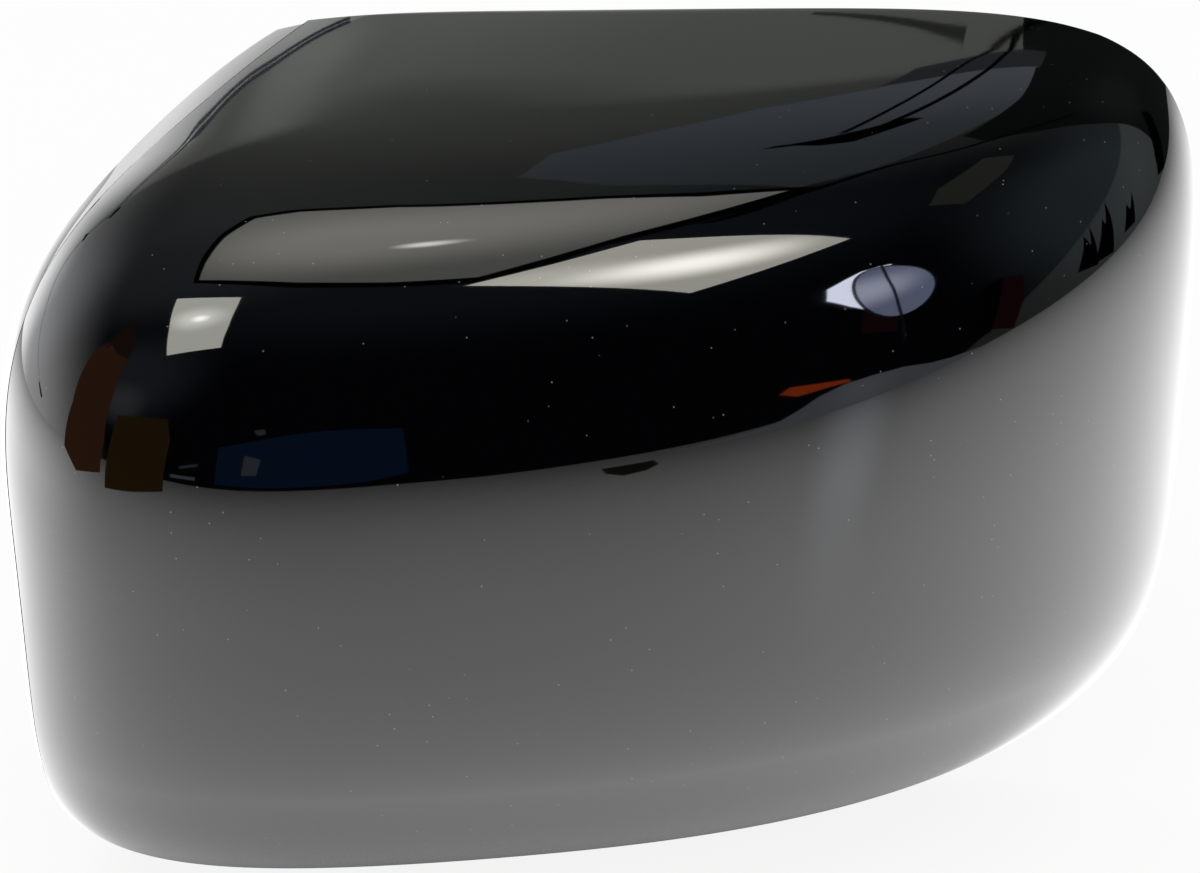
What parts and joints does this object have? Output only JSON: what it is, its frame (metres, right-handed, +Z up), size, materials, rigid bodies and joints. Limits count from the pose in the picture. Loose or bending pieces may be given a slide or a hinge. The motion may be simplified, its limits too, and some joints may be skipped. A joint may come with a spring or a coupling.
{
  "type": "wing mirror cover",
  "caption": "Clip-on cap for the front of a car's wing mirror: a thin, deeply domed shell in gloss black plastic with an open back.",
  "frame": {"origin": "on the axis of the inner locating peg, where the peg leaves its post", "axes": "+X outboard, away from the door; +Y to the rear of the car, out of the open back and along the pegs; +Z up, as fitted"},
  "size_m": [0.2338, 0.1509, 0.1586],
  "materials": {
    "gloss_black_plastic": "high gloss"
  },
  "bodies": {
    "root": {"mirror_cover": "gloss_black_plastic"}
  },
  "joints": []
}
